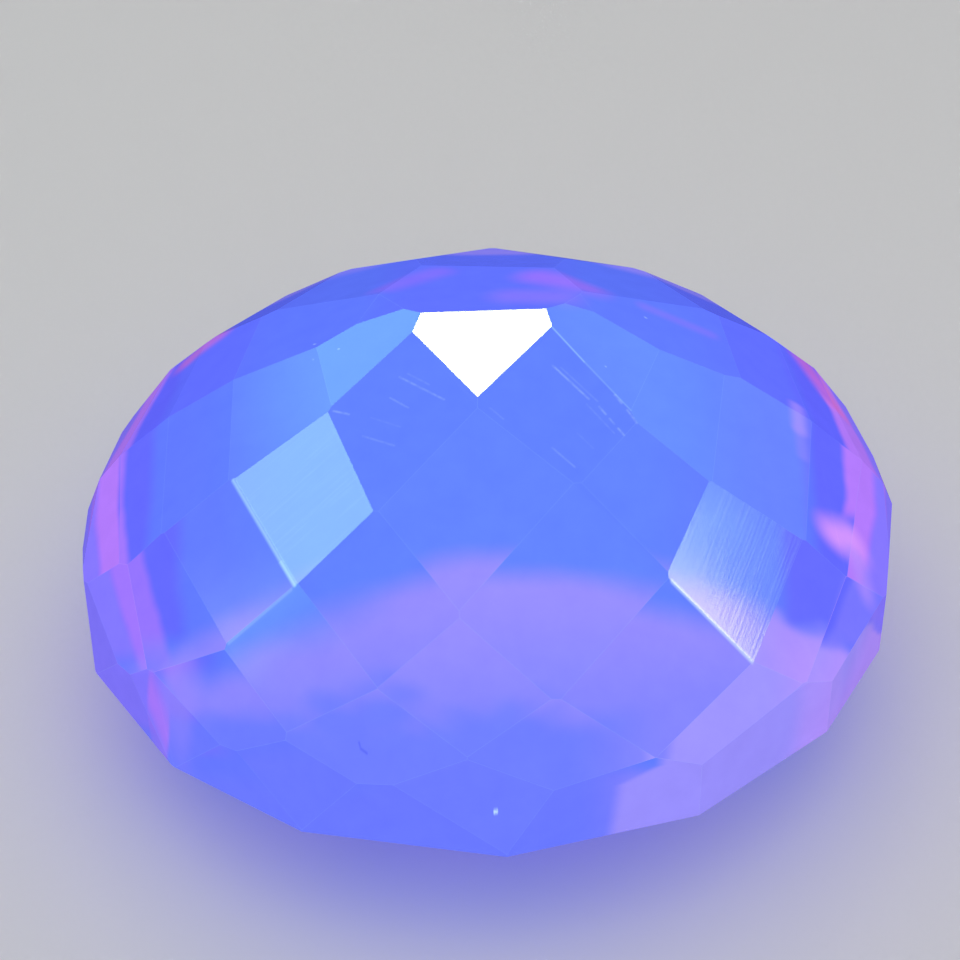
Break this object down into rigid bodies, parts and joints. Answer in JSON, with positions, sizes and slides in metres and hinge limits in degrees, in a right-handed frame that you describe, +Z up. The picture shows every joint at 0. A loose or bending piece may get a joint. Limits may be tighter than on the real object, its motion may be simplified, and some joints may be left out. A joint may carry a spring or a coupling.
{
  "type": "faceted opal",
  "caption": "Round loose gemstone with a chequerboard-faceted dome over a shallow underside and a flat base, for setting or display.",
  "frame": {"origin": "centre of the flat base, on the surface that the stone rests on, directly under the girdle's centre", "axes": "+Z up through the crown; -Y towards the side that the picture was taken from; +X to that viewer's right"},
  "size_m": [0.0122, 0.0122, 0.0063],
  "materials": {
    "opal body": "polished"
  },
  "bodies": {
    "root": {"opal": "opal body"}
  },
  "joints": []
}
